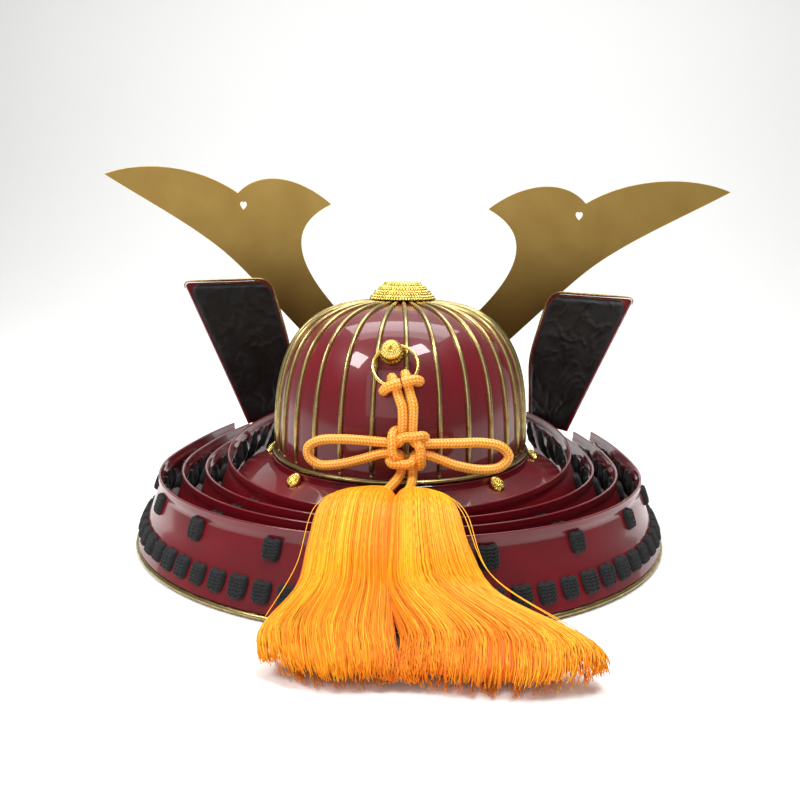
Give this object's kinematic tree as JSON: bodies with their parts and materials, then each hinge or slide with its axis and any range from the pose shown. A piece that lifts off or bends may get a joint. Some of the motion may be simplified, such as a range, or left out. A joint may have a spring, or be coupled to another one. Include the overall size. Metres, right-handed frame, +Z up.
{
  "type": "kabuto samurai helmet",
  "caption": "Ribbed, lacquered samurai helmet with nested flared neck guard plates, turned-back flaps, horn crest and a knotted, tasselled cord at the back.",
  "frame": {"origin": "middle of the helmet's own box, without the knotted cord and its tassels, on the surface that it rests on", "axes": "+Z up, the face looks along -Y, the back of the neck is at +Y, X is left and right"},
  "size_m": [0.6538, 0.497, 0.3346],
  "materials": {
    "red_lacquer": "deep red gloss lacquer over metal plate",
    "old_brass": "antique satin brass",
    "bright_gold": "bright gilt",
    "satin_gold": "satin gold plate with bright edges",
    "black_lacing": "black braided cord",
    "black_lining": "black wrinkled lining",
    "orange_cord": "golden orange braided silk cord",
    "orange_silk": "golden orange silk threads"
  },
  "bodies": {
    "root": {"bowl": "red_lacquer", "bowl_ribs": "old_brass", "top_ornament": "bright_gold", "skirt": "red_lacquer", "visor": "red_lacquer", "skirt_rivet_1": "bright_gold", "skirt_rivet_2": "bright_gold", "skirt_rivet_3": "bright_gold", "skirt_rivet_4": "bright_gold", "lacing_upper_4": "black_lacing", "lacing_upper_3": "black_lacing", "lacing_upper_2": "black_lacing", "lacing_upper_1": "black_lacing", "lacing_bottom_row": "black_lacing", "lame_1": "red_lacquer", "lame_2": "red_lacquer", "lame_3": "red_lacquer", "lame_4": "red_lacquer", "lame_rim": "old_brass", "flap_right": "red_lacquer", "flap_lining_right": "black_lining", "flap_trim_right": "old_brass", "flap_left": "red_lacquer", "flap_lining_left": "black_lining", "flap_trim_left": "old_brass", "horn_right": "satin_gold", "horn_left": "satin_gold", "horn_holder": "red_lacquer", "knob": "bright_gold", "carrying_ring": "bright_gold", "knot_cord_1": "orange_cord", "knot_cord_2": "orange_cord", "tassel_1": "orange_silk", "tassel_2": "orange_silk"}
  },
  "joints": []
}
